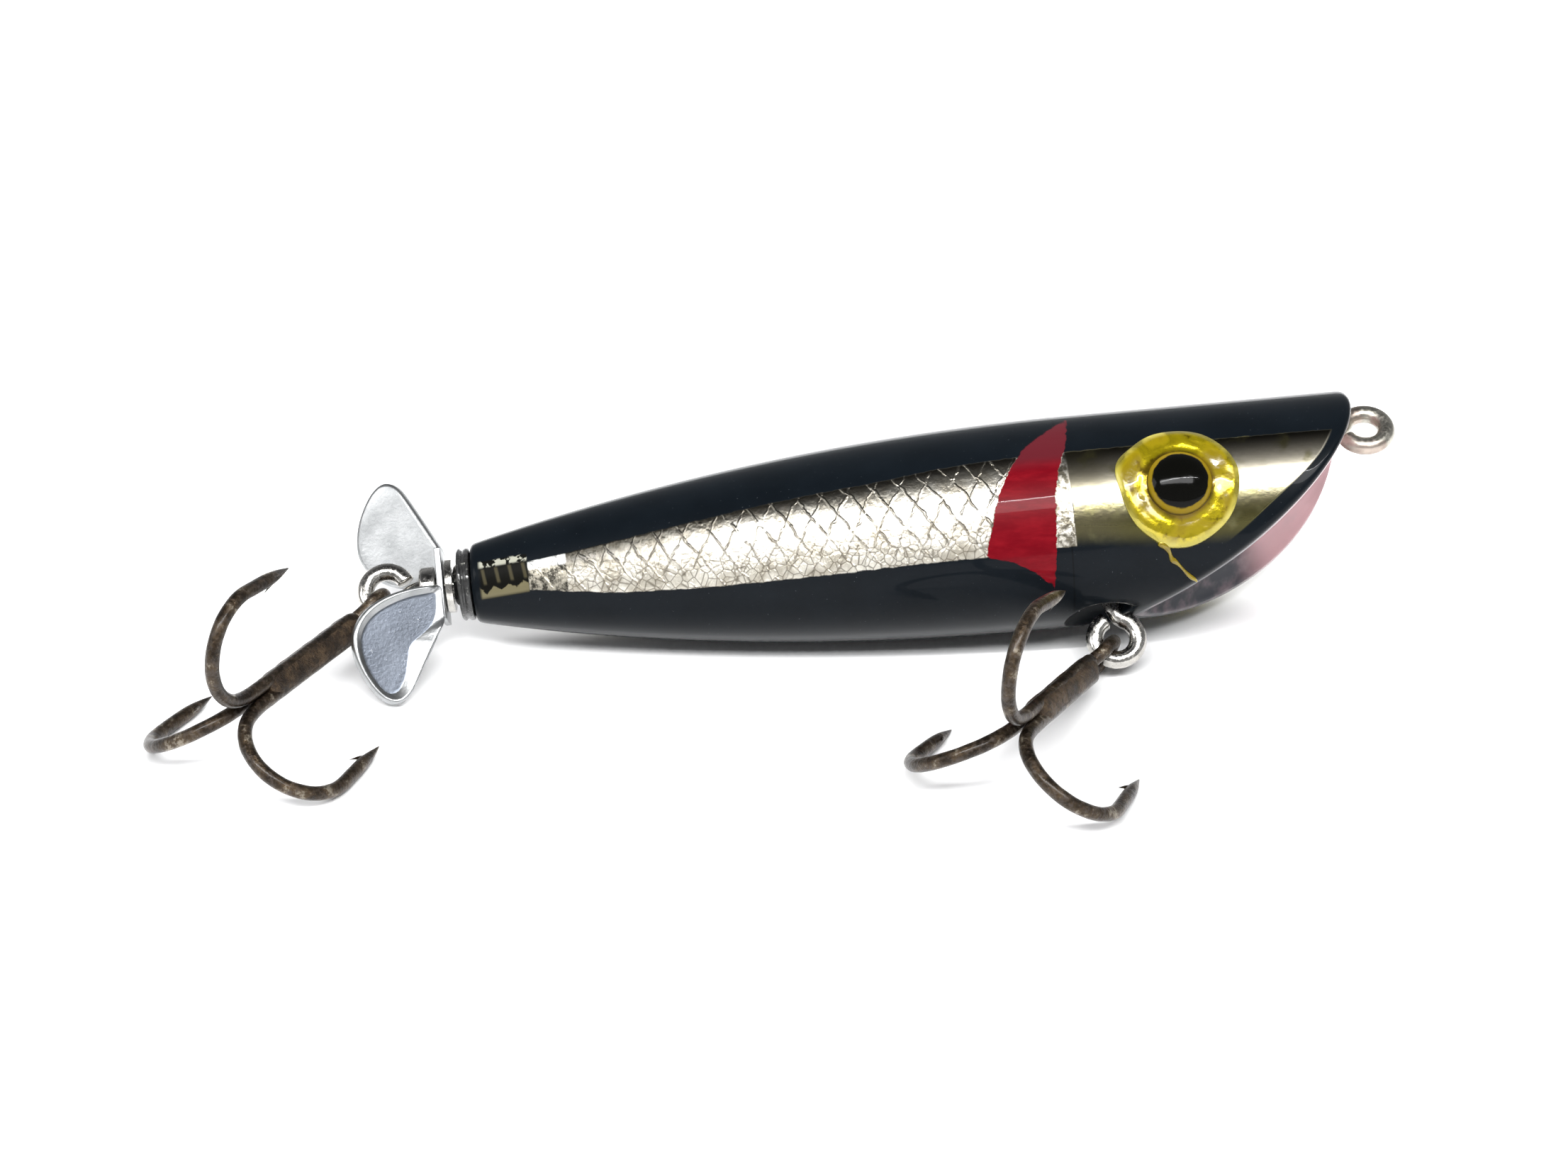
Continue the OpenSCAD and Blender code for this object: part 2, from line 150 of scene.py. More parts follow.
# ---------------------------------------------------------------- material helper
class Paint:
    """A material and short calls for building its nodes."""

    def __init__(self, name, **sockets):
        self.mat = bpy.data.materials.new(name)
        self.mat.use_nodes = True
        self.tree = self.mat.node_tree
        self.shader = self.tree.nodes["Principled BSDF"]
        for k, v in sockets.items():
            self.shader.inputs[k.replace("_", " ")].default_value = v

    def put(self, node, i, v):
        """Link a socket into input i, or set its value."""
        if isinstance(v, bpy.types.NodeSocket):
            self.tree.links.new(v, node.inputs[i])
        elif v is not None:
            node.inputs[i].default_value = v

    def node(self, kind, props=(), **ins):
        n = self.tree.nodes.new(kind)
        for k, v in dict(props).items():
            setattr(n, k, v)
        for k, v in ins.items():
            self.put(n, k.replace("_", " "), v)
        return n

    def math(self, op, a, b=None):
        n = self.node("ShaderNodeMath", dict(operation=op))
        self.put(n, 0, a)
        self.put(n, 1, b)
        return n.outputs[0]

    def plus(self, a, b):
        return self.math("ADD", a, b)

    def minus(self, a, b):
        return self.math("SUBTRACT", a, b)

    def times(self, a, b):
        return self.math("MULTIPLY", a, b)

    def most(self, a, b):
        return self.math("MAXIMUM", a, b)

    def zigzag(self, x):
        """Distance of x from the middle of its unit step, 0 to 0.5."""
        return self.math("ABSOLUTE", self.minus(self.math("FRACT", x), 0.5))

    def attr(self, name):
        return self.node("ShaderNodeAttribute", dict(attribute_name=name)).outputs["Fac"]

    def place(self, scale=(1, 1, 1)):
        """Object position in mm, times scale."""
        n = self.node("ShaderNodeMapping")
        self.put(n, "Vector", self.node("ShaderNodeTexCoord").outputs["Object"])
        n.inputs["Scale"].default_value = [s / MM for s in scale]
        return n.outputs[0]

    def step(self, x, lo, hi):
        """Smooth step from 0 at lo to 1 at hi."""
        n = self.node("ShaderNodeMapRange", dict(interpolation_type="SMOOTHSTEP"))
        self.put(n, 0, x)
        n.inputs[1].default_value, n.inputs[2].default_value = lo, hi
        return n.outputs[0]

    def band(self, x, a, b, c, d):
        """1 from b to c, smooth down to 0 at a and at d."""
        return self.times(self.step(x, a, b), self.step(x, d, c))

    def noise(self, scale, at=None, detail=3.0, rough=0.5, distort=0.0):
        n = self.node("ShaderNodeTexNoise", Vector=at or self.place(), Scale=scale,
                      Detail=detail, Roughness=rough, Distortion=distort)
        return n.outputs[0]

    def cracks(self, scale):
        """Distance to the edges of irregular cells."""
        n = self.node("ShaderNodeTexVoronoi", dict(feature="DISTANCE_TO_EDGE"),
                      Vector=self.place(), Scale=scale)
        return n.outputs["Distance"]

    def mix(self, f, a, b):
        """Colour a where f is 0, b where it is 1."""
        n = self.node("ShaderNodeMix", dict(data_type="RGBA"))
        self.put(n, 0, f)
        for i, v in ((6, a), (7, b)):
            self.put(n, i, (*v, 1) if isinstance(v, tuple) else v)
        return n.outputs[2]

    def blend(self, f, a, b):
        """Number a where f is 0, b where it is 1."""
        n = self.node("ShaderNodeMix", dict(data_type="FLOAT"))
        for i, v in ((0, f), (2, a), (3, b)):
            self.put(n, i, v)
        return n.outputs[0]

    def bump(self, height, strength, distance):
        n = self.node("ShaderNodeBump", Strength=strength, Distance=distance, Height=height)
        return n.outputs[0]

    def out(self, **links):
        for k, v in links.items():
            self.put(self.shader, k.replace("_", " "), v)
        return self.mat


# ---------------------------------------------------------------- mesh helpers
def piece(name, verts_mm, faces, mat, body, nodes, subsurf=0, attrs=None):
    """A mesh piece in the row frame, on its body, standing for its CAD nodes."""
    mesh = bpy.data.meshes.new(name)
    mesh.from_pydata([tuple(v) for v in np.asarray(verts_mm, float) * MM], [], faces)
    for key, values in (attrs or {}).items():
        layer = mesh.attributes.new(key, "FLOAT", "POINT")
        layer.data.foreach_set("value", np.asarray(values, np.float32))
    bm = bmesh.new()
    bm.from_mesh(mesh)
    bmesh.ops.recalc_face_normals(bm, faces=bm.faces)
    bm.to_mesh(mesh)
    bm.free()
    mesh.update()
    mesh.shade_smooth()
    o = bpy.data.objects.new(name, mesh)
    bpy.context.scene.collection.objects.link(o)
    mesh.materials.append(mat)
    if subsurf:
        m = o.modifiers.new("smooth", "SUBSURF")
        m.levels = m.render_levels = subsurf
        m.boundary_smooth = "PRESERVE_CORNERS"
    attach(o, body)
    if nodes:
        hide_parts(*nodes)


def strip_faces(nu, nv, wrap_v=False):
    """Quads over a grid of nu rows and nv columns."""
    out = []
    for i in range(nu - 1):
        for j in range(nv if wrap_v else nv - 1):
            k = (j + 1) % nv
            out.append((i * nv + j, i * nv + k, (i + 1) * nv + k, (i + 1) * nv + j))
    return out


def end_caps(nu, nv):
    """The two end faces of a closed grid of nu rows and nv columns."""
    return [tuple(range(nv))[::-1], tuple((nu - 1) * nv + k for k in range(nv))]


def circle(n):
    return np.linspace(0, 2 * math.pi, n, endpoint=False)


def wob(p, scale, seed=0.0):
    """Smooth repeatable noise at each point, about -1 to 1."""
    return np.array([noise.noise(Vector((q[0] * scale + seed, q[1] * scale, q[2] * scale))) for q in p])


# ---------------------------------------------------------------- swept wires
OFF_AXIS = (0.31, 0.52, 0.79)     # a direction that no wire here starts along


def unit(v):
    return v / np.linalg.norm(v)


def sweep(points, radii, sides=16, bumps=0.0, seed=0.0):
    """Tube along a line, with a frame carried along it, a radius per point and noise."""
    P = np.asarray(points, float)
    n = len(P)
    T = np.array([unit(P[min(i + 1, n - 1)] - P[max(i - 1, 0)]) for i in range(n)])
    u = unit(np.cross(T[0], OFF_AXIS))
    V = []
    for i in range(n):
        u = unit(u - T[i] * (u @ T[i]))
        w = np.cross(T[i], u)
        for t in circle(sides):
            V.append(P[i] + (u * math.cos(t) + w * math.sin(t)) * radii[i])
    V = np.array(V)
    if bumps:
        d = V - np.repeat(P, sides, axis=0)
        L = np.linalg.norm(d, axis=1, keepdims=True)
        amp = bumps * (0.7 * wob(V, 0.9, seed) + 0.5 * wob(V, 2.3, seed + 9))
        thin = np.minimum(1, np.repeat(radii, sides) / 0.5)
        V = V + d / np.maximum(L, 1e-6) * (amp * thin)[:, None]
    return V, strip_faces(n, sides, True) + end_caps(n, sides)


def join(*parts):
    V, F, base = [], [], 0
    for v, f in parts:
        V.append(v)
        F += [tuple(i + base for i in q) for q in f]
        base += len(v)
    return np.concatenate(V), F


def respace(points, radii, step):
    """The same line with evenly spaced points, a little smoothed."""
    P, R = np.asarray(points, float), np.asarray(radii, float)
    keep = np.concatenate([[True], np.linalg.norm(np.diff(P, axis=0), axis=1) > 1e-4])
    P, R = P[keep], R[keep]
    s = np.concatenate([[0], np.cumsum(np.linalg.norm(np.diff(P, axis=0), axis=1))])
    t = np.linspace(0, s[-1], max(8, int(s[-1] / step)))
    Q = np.stack([np.interp(t, s, P[:, k]) for k in range(3)], 1)
    for _ in range(2):
        Q[1:-1] = 0.25 * Q[:-2] + 0.5 * Q[1:-1] + 0.25 * Q[2:]
    return Q, np.interp(t, s, R)


# ---------------------------------------------------------------- body outline, mm
BODY_LEN = 77.0
BODY_R, BELLY_X = 9.05, 51.4      # largest radius, and its place along the body
TAIL_R, NOSE_R = 3.05, 8.72
TAPER = 2.1
MOUTH_LEN, MOUTH_H = 21.0, 15.6
LIP_TOP, LIP_P = 6.6, 1.65        # height of the lip at the nose, and its curve's power
CUP_DEPTH = 3.2
EDGE_R, RIM = 0.75, 1.35          # rounding of the lip, and the flat of the rim
EYE_X, EYE_Z, EYE_R = 61.1, -0.6, 5.0
BELLY_RING_X = 55.1
TAIL_XS = (1.22, 1.3, 1.6, 2.1)   # rows that round the tail end
HEAD_X = 50.5                     # from here on the rows lean over to the mouth
N_HEAD, N_CUP = 46, 26
N_TOP, N_LIP = 14, 56
DISH_AT, DISH_R = (BELLY_RING_X - 0.9, 0.0, -11.3), 4.0    # dish round the belly ring
FAR = 9.0                         # "into" of points that are far from the mouth's edge


def rad(x):
    x = np.asarray(x, float)
    tail = BODY_R - (BODY_R - TAIL_R) * np.power(np.clip(1 - x / BELLY_X, 0, 1), TAPER)
    head = BODY_R - (BODY_R - NOSE_R) * (x - BELLY_X) / (BODY_LEN - BELLY_X)
    return np.where(x < BELLY_X, tail, head)


def lip(a):
    """Point of the lip curve in the mid-plane, a from 0 at the nose to pi/2 at the chin."""
    return (BODY_LEN - MOUTH_LEN + MOUTH_LEN * math.cos(a) ** (2 / LIP_P),
            LIP_TOP - MOUTH_H * math.sin(a) ** (2 / LIP_P))


def chin_angle():
    """The angle at which the lip curve meets the belly."""
    lo, hi = 0.5, math.pi / 2 - 1e-6
    for _ in range(60):
        m = (lo + hi) / 2
        x, z = lip(m)
        lo, hi = (m, hi) if -z < float(rad(x)) else (lo, m)
    return lo


LIP_XZ = np.array([lip(t) for t in np.linspace(0, chin_angle(), 600)])
LIP_S = np.concatenate([[0], np.cumsum(np.linalg.norm(np.diff(LIP_XZ, axis=0), axis=1))])
S_END = LIP_S[-1]
TOP_S = -(NOSE_R - LIP_TOP)
S_MID = 0.5 * (TOP_S + S_END)


def lip_path(s):
    """Mid-plane point at distance s along the mouth: up the nose face where s is below 0."""
    s = np.asarray(s, float)
    x = np.interp(s, LIP_S, LIP_XZ[:, 0])
    z = np.where(s < 0, LIP_TOP - s, np.interp(s, LIP_S, LIP_XZ[:, 1]))
    return x, z


def lip_out(s):
    """Direction out of the mouth in the mid-plane."""
    x0, z0 = lip_path(np.maximum(s - 0.4, TOP_S))
    x1, z1 = lip_path(np.minimum(s + 0.4, S_END))
    dx, dz = x1 - x0, z1 - z0
    n = np.hypot(dx, dz)
    return -dz / n, dx / n


def columns():
    """From the top of the nose to the chin: angle round the body, mouth distance and x."""
    cols = []
    top = math.asin(LIP_TOP / NOSE_R)
    for i in range(N_TOP):
        t = math.pi / 2 + (top - math.pi / 2) * i / N_TOP
        cols.append((t, TOP_S * (math.sin(t) * NOSE_R - LIP_TOP) / (NOSE_R - LIP_TOP), BODY_LEN))
    for i in range(N_LIP + 1):
        g = i / N_LIP
        s = S_END * (g * 0.96 + 0.04 * (1 - (1 - g) ** 3))
        x, z = lip_path(s)
        sine = max(-1.0, min(1.0, float(z) / float(rad(x))))
        cols.append((math.asin(sine) if i < N_LIP else -math.pi / 2, s, float(x)))
    return np.array(cols)


COLS = columns()

# The gill's outline: x, and height as seen with the flank turned up by SEAT.
SEAT = math.radians(17.3)
GILL = [(52.9, 8.6), (52.2, 6.3), (51.3, 4.3), (50.7, 2.05), (50.5, -1.15), (50.3, -3.05), (50.0, -5.5),
        (48.6, -4.15), (46.9, -3.15), (44.5, -2.4), (44.8, -1.2), (45.3, 0.4), (45.9, 2.2), (46.6, 3.7),
        (47.6, 5.2), (49.0, 6.6), (51.0, 7.7)]
OFF_GILL = -5.0


def inside_distance(px, py, outline):
    """Signed distance to a closed outline, positive inside."""
    q = np.array(outline, float)
    best = np.full(px.shape, 1e9)
    odd = np.zeros(px.shape, bool)
    for (x0, y0), (x1, y1) in zip(q, np.roll(q, -1, axis=0)):
        dx, dy = x1 - x0, y1 - y0
        t = np.clip(((px - x0) * dx + (py - y0) * dy) / (dx * dx + dy * dy), 0, 1)
        best = np.minimum(best, np.hypot(px - x0 - t * dx, py - y0 - t * dy))
        cross = (y0 > py) != (y1 > py)
        odd ^= cross & (px < (x1 - x0) * (py - y0) / (dy if dy else 1e-9) + x0)
    return np.where(odd, best, -best)


def gill_distance(x, arc):
    """Signed distance to the gill, for points at x and arc round the flank."""
    R = rad(x)
    height = R * np.sin(np.clip(arc / R + SEAT, -math.pi / 2, math.pi / 2))
    return np.where(np.abs(arc / R) < 1.45, inside_distance(x, height, GILL), OFF_GILL)


def skin_half(side):
    """Outer skin, rounded lip and half of the mouth cup. side -1 is the right flank.

    Each point carries its x (u), its distance round the body from the side (arc), how far it
    is past the mouth's edge (into) and how far it is inside the gill.
    """
    th, s_b, x_b = COLS.T
    n = len(COLS)
    rows, marks = [], []

    def add(points, x, R, into):
        rows.append(points)
        marks.append((np.broadcast_to(x, n), th * R, np.broadcast_to(into, n)))

    def hoop(x, R):
        return np.stack([np.broadcast_to(x, n), side * R * np.cos(th), R * np.sin(th)], 1)

    for i, x in enumerate([*TAIL_XS, *np.arange(2.7, 50.2, 0.55), HEAD_X]):
        R = float(rad(x)) - {0: 0.6, 1: 0.12}.get(i, 0.0)
        add(hoop(x, R), x, R, -FAR)
    for i in range(1, N_HEAD + 1):
        x = HEAD_X + (x_b - EDGE_R - HEAD_X) * i / N_HEAD
        add(hoop(x, rad(x)), x, rad(x), -(x_b - x))
    # the rim: from the skin over the edge to the face of the lip
    R = rad(x_b)
    y_b = R * np.cos(th)
    d_mid = np.hypot(s_b - S_MID, y_b)

    def face(inset, depth):
        f = 1 - inset / d_mid
        s = S_MID + (s_b - S_MID) * f
        x, z = lip_path(s)
        nx, nz = lip_out(s)
        return np.stack([x - nx * depth, side * y_b * f, z - nz * depth], 1)

    skin_end, edge, face_in = rows[-1], hoop(x_b, R), face(EDGE_R, 0.0)
    for t in (0.22, 0.45, 0.68, 0.88):
        curve = (1 - t) ** 2 * skin_end + 2 * t * (1 - t) * edge + t * t * face_in
        add(curve, x_b, R, -EDGE_R + 2 * EDGE_R * t)
    add(face_in, x_b, R, EDGE_R)
    add(face(RIM - 0.25, 0.03), x_b, R, RIM - 0.25)
    for i in range(N_CUP):
        q = (1 - i / N_CUP) ** 0.85
        inset = RIM + (d_mid - RIM) * (1 - q)
        near_top = np.clip(0.25 + 0.14 * (s_b - TOP_S + (1 - q) * 12), 0, 1)
        add(face(inset, CUP_DEPTH * max(1 - q * q, 0) ** 0.75 * near_top), x_b, R, inset)
    P = np.concatenate(rows)
    u, arc, into = (np.concatenate([m[k] for m in marks]) for k in range(3))
    d = P - np.array(DISH_AT)
    dist = np.linalg.norm(d, axis=1)
    dent = np.clip(DISH_R - dist, 0, None) * (np.abs(into) > 1.2)
    P = P + d / dist[:, None] * dent[:, None]
    # one point closes the middle of the cup
    x, z = lip_path(S_MID)
    nx, nz = lip_out(np.array(S_MID))
    P = np.vstack([P, [x - nx * CUP_DEPTH, 0, z - nz * CUP_DEPTH]])
    last = (len(rows) - 1) * n
    faces = strip_faces(len(rows), n) + [(last + j, last + j + 1, len(P) - 1) for j in range(n - 1)]
    u, arc, into = np.append(u, x), np.append(arc, 0.0), np.append(into, FAR)
    return lay(P), faces, dict(u=u, arc=arc, into=into, gill=gill_distance(u, arc))


# ---------------------------------------------------------------- body paint
# Edges of the foil along the body: x, and distance round the flank from its side.
FOIL_TOP = [(0, -0.2), (5, -0.1), (9.5, 0.15), (16, 0.7), (28, 1.9), (36, 2.5), (43, 3.2), (52, 3.4),
            (66, 3.2), (80, 2.9)]
FOIL_LOW = [(0, -1.6), (6, -2.4), (9.5, -3.1), (15, -4.05), (29.5, -4.95), (36, -5.0), (46.4, -5.1),
            (52, -5.0), (58, -5.6), (66, -6.0), (80, -5)]
CURVE_X, CURVE_V = 80.0, 8.0      # the curves' ranges: 0 to 80 along, -8 to 8 round


def foil_edge(p, u, points):
    """Where an edge of the foil runs, as a curve along the body."""
    c = p.node("ShaderNodeFloatCurve")
    curve = c.mapping.curves[0]
    spots = [(x / CURVE_X, (v + CURVE_V) / (2 * CURVE_V)) for x, v in points]
    curve.points[0].location, curve.points[1].location = spots[0], spots[-1]
    for q in spots[1:-1]:
        curve.points.new(*q)
    c.mapping.update()
    p.put(c, "Value", p.math("DIVIDE", u, CURVE_X))
    return p.minus(p.times(c.outputs[0], 2 * CURVE_V), CURVE_V)


def scale_net(p, u, arc):
    """Fish scales: two sets of slanting lines, warped and faded in places, none on the head."""
    wide = p.times(p.minus(p.noise(0.55, detail=3), 0.5), 1.1)
    high = p.times(p.minus(p.noise(0.8, detail=3, rough=0.6), 0.5), 0.8)
    uu, vv = p.plus(u, wide), p.plus(arc, high)

    def lines(per_mm_u, per_mm_v, width):
        t = p.plus(p.times(uu, per_mm_u), p.times(vv, per_mm_v))
        return p.step(p.zigzag(t), 0.5 - width, 0.5)

    net = p.most(lines(0.46, 0.30, 0.085), p.times(lines(0.46, -0.26, 0.07), 0.62))
    net = p.times(net, p.step(p.noise(0.9, detail=2), 0.30, 0.52))
    return p.times(net, p.step(u, HEAD_X, HEAD_X - 0.2))


def flank_foil(p, below_top, net, crumple, lowness):
    """Scaled foil: painted reflection of the dark room above makes it dark under the black edge; cracked
    low down.
    """
    tone = p.mix(p.step(p.noise(0.7, detail=4), 0.35, 0.7), (0.47, 0.435, 0.36), (0.76, 0.73, 0.65))
    # painted reflection: the foil's colour darkens towards its top edge
    shade = p.step(below_top, -0.1, 2.6)
    tone = p.mix(shade, (0.045, 0.042, 0.034), tone)
    scale_line = p.mix(shade, (0.26, 0.245, 0.21), (0.16, 0.14, 0.11))
    tone = p.mix(p.times(net, 0.72), tone, scale_line)
    crack = p.times(p.step(crumple, 0.10, 0.0), p.blend(lowness, 0.12, 0.75))
    return p.mix(crack, tone, (0.12, 0.10, 0.07))


def head_foil(p, u, arc, below_top):
    """Plain foil of the head with painted reflection: pale high on the flank, dark olive low down and dark
    at its top edge; darker behind the eye.
    """
    # painted reflection: pale where the flank faces up, dark olive where it turns down
    tone = p.mix(p.step(arc, 1.2, -3.8), (0.56, 0.52, 0.42), (0.15, 0.135, 0.05))
    tone = p.mix(p.step(below_top, 0.0, 1.9), (0.05, 0.047, 0.036), tone)
    tone = p.mix(p.times(p.step(u, 57.5, 53.5), 0.55), tone, (0.17, 0.15, 0.09))
    return p.mix(p.step(p.noise(0.6, detail=4), 0.52, 0.75), tone, (0.27, 0.25, 0.12))


def bulkhead_edge(p):
    return p.mix(p.step(p.noise(2.2, detail=4), 0.4, 0.62), (0.16, 0.145, 0.11), (0.66, 0.63, 0.56))


def crinkled_patch(p, arc):
    """Crinkled foil before the scales: grey below, pale above."""
    creases = p.step(p.noise(1.5, detail=5, rough=0.7), 0.42, 0.6)
    grey = p.mix(creases, (0.045, 0.042, 0.035), (0.42, 0.39, 0.32))
    pale = p.mix(p.step(p.noise(2.0), 0.4, 0.55), (0.7, 0.7, 0.68), (0.9, 0.9, 0.88))
    return p.mix(p.step(arc, -0.9, -0.4), grey, pale)


def tail_window(p, u, arc, fine):
    """Clear tail: the screw's thread, flecks above it and a sawtooth of foil below."""
    teeth = p.plus(p.times(p.zigzag(p.times(u, 0.78)), 1.1), p.times(fine, 0.9))
    saw = p.times(p.step(p.plus(arc, teeth), -1.0, -1.15), p.step(arc, -2.75, -2.3))
    thread = p.zigzag(p.plus(p.times(u, 0.86), p.times(arc, 0.12)))
    rod = p.band(arc, -1.5, -1.2, -0.15, 0.1)
    col = p.mix(p.times(rod, p.step(thread, 0.30, 0.46)), (0.004, 0.004, 0.003), (0.050, 0.044, 0.025))
    col = p.mix(saw, col, (0.13, 0.115, 0.065))
    flecks = p.times(p.step(arc, 0.0, 0.25), p.step(p.noise(1.7), 0.44, 0.5))
    return p.mix(flecks, col, (0.34, 0.34, 0.28))


def black_coat(p, u):
    """Black paint with fine dust, and the line where the head piece meets the body."""
    black = p.mix(p.noise(0.25), (0.0022, 0.0034, 0.0048), (0.005, 0.0075, 0.0105))
    dust = p.step(p.noise(5.5, detail=2), 0.735, 0.76)
    black = p.mix(p.times(dust, 0.18), black, (0.2, 0.22, 0.24))
    seam = p.band(u, 51.55, 51.62, 51.68, 51.75)
    return p.mix(p.times(seam, 0.5), black, (0.0, 0.0, 0.0))


def gill_red(p, arc, streak):
    red = p.mix(p.step(streak, 0.35, 0.75), (0.115, 0.001, 0.005), (0.175, 0.004, 0.009))
    # painted shade: the red turns darker towards the top of the flank
    return p.mix(p.step(arc, 1.6, 3.4), red, (0.085, 0.010, 0.015))


def mouth_pink(p, u):
    """Pink lining, dark towards the chin."""
    pink = p.mix(p.step(u, 71.5, 65.5), (0.46, 0.285, 0.30), (0.050, 0.052, 0.060))
    return p.mix(p.times(p.step(p.noise(0.5), 0.45, 0.75), 0.4), pink, (0.36, 0.27, 0.285))


def body_paint():
    p = Paint("body_paint", Coat_Weight=1.0, Coat_Roughness=0.035, Coat_IOR=1.13, IOR=1.45,
              Specular_IOR_Level=0.06)
    u, arc, into, gill = (p.attr(k) for k in ("u", "arc", "into", "gill"))
    fine = p.noise(1.3, detail=4)
    ragged = p.times(p.minus(fine, 0.5), 0.28)
    below_top = p.minus(foil_edge(p, u, FOIL_TOP), arc)
    above_low = p.plus(p.minus(arc, foil_edge(p, u, FOIL_LOW)), ragged)
    # masks
    head = p.step(u, 52.0, 52.15)
    in_top = p.step(p.plus(below_top, ragged), -0.07, 0.07)
    in_low = p.blend(head, p.step(above_low, -0.07, 0.07), p.step(above_low, -0.2, 2.6))
    lip_width = p.blend(p.step(arc, 1.5, -4.0), 1.35, 2.3)
    from_lip = p.step(p.plus(into, lip_width), 0.15, -0.15)
    band = p.times(p.times(in_top, in_low), from_lip)
    foil = p.times(band, p.step(u, 9.35, 9.45))
    wall = p.band(u, 50.45, 50.6, 51.9, 52.05)
    patch = p.times(p.band(u, 6.15, 6.3, 9.4, 9.6), band)
    window = p.times(p.band(u, 1.9, 2.2, 6.15, 6.25), p.band(arc, -2.7, -2.5, 0.6, 0.8))
    streak = p.noise(1.0, at=p.place((0.35, 1.4, 1.4)), detail=5, rough=0.7)
    in_gill = p.step(p.plus(gill, p.times(p.minus(streak, 0.5), 0.5)), -0.05, 0.06)
    mouth = p.step(into, 0.45, 0.6)
    lowness, tailness = p.step(arc, 0.6, -3.8), p.step(u, 30.0, 10.0)
    # colours, one over the other
    net, crumple = scale_net(p, u, arc), p.cracks(1.35)
    scaled = flank_foil(p, below_top, net, crumple, lowness)
    tone = p.mix(head, scaled, head_foil(p, u, arc, below_top))
    tone = p.mix(wall, tone, bulkhead_edge(p))
    col = p.mix(foil, black_coat(p, u), tone)
    col = p.mix(patch, col, crinkled_patch(p, arc))
    col = p.mix(window, col, tail_window(p, u, arc, fine))
    col = p.mix(in_gill, col, gill_red(p, arc, streak))
    col = p.mix(mouth, col, mouth_pink(p, u))
    # finish
    metal = p.most(p.times(foil, p.minus(1.0, in_gill)), p.times(patch, 0.8))
    metal = p.times(metal, p.minus(1.0, mouth))
    rough = p.blend(mouth, p.blend(metal, 0.38, p.blend(head, 0.30, 0.24)), 0.33)
    crinkles = p.plus(p.noise(2.6, detail=5, rough=0.65), p.times(crumple, 0.6))
    height = p.plus(net, p.times(crinkles, p.blend(p.most(lowness, tailness), 0.35, 1.15)))
    height = p.times(height, p.times(metal, p.blend(head, 1.0, 0.16)))
    return p.out(Base_Color=col, Metallic=metal, Roughness=rough, Normal=p.bump(height, 0.55, 0.00018))


BODY_MAT = body_paint()
for side, word in ((-1, "right"), (1, "left")):
    V, F, marks = skin_half(side)
    piece("body_skin_" + word, V, F, BODY_MAT, "lure_body", ["body_shell_" + word],
          subsurf=1, attrs=marks)


# ---------------------------------------------------------------- eyes
PUPIL_R, PUPIL_H = 2.75, 1.32
PUPIL_FOOT_R = 2.9


def flank(x, z, lift, side):
    """Points at x and z of the flank, raised by lift."""
    R = rad(x) + lift
    return np.stack([x, side * np.sqrt(np.maximum(R * R - z * z, 0.01)), z], 1)


def eye_paint():
    """Yellow resin with olive depths, darker at the pupil's foot."""
    p = Paint("eye_resin", Coat_Weight=1.0, Coat_Roughness=0.03, Coat_IOR=1.35, IOR=1.4, Roughness=0.2)
    r = p.attr("r")
    n1 = p.noise(0.32, detail=3, rough=0.45, distort=0.6)
    n2 = p.noise(1.1, detail=4, rough=0.6)
    col = p.mix(p.step(n1, 0.40, 0.70), (0.19, 0.14, 0.004), (0.60, 0.48, 0.008))
    veins = p.step(p.plus(n2, p.times(r, 0.02)), 0.62, 0.76)
    col = p.mix(p.times(veins, 0.8), col, (0.10, 0.062, 0.003))
    col = p.mix(p.step(r, 4.35, 4.9), col, (0.42, 0.36, 0.06))
    col = p.mix(p.times(p.step(r, 3.15, 2.75), 0.9), col, (0.10, 0.06, 0.003))
    height = p.plus(n1, p.times(n2, 0.35))
    return p.out(Base_Color=col, Metallic=p.times(p.step(n1, 0.42, 0.6), 0.75),
                 Normal=p.bump(height, 0.35, 0.0004))


def pupil_paint():
    """Gloss black with an amber ring at its foot."""
    p = Paint("pupil_gloss", Coat_Weight=1.0, Coat_Roughness=0.02, Coat_IOR=1.16, IOR=1.12, Roughness=0.12)
    r = p.attr("r")
    ring = p.step(p.plus(r, p.times(p.noise(1.0), 0.35)), 2.45, 2.58)
    col = p.mix(ring, (0.0025, 0.0025, 0.002), (0.20, 0.135, 0.006))
    col = p.mix(p.step(r, 2.62, 2.76), col, (0.025, 0.015, 0.002))
    return p.out(Base_Color=col, Normal=p.bump(p.noise(0.6), 0.12, 0.0004))


EYE_MAT, PUPIL_MAT = eye_paint(), pupil_paint()


def hump(x, centre, width):
    return np.exp(-((x - centre) / width) ** 2)


def hump_round(ang, centre, width):
    return hump(np.angle(np.exp(1j * (ang - centre))), 0.0, width)


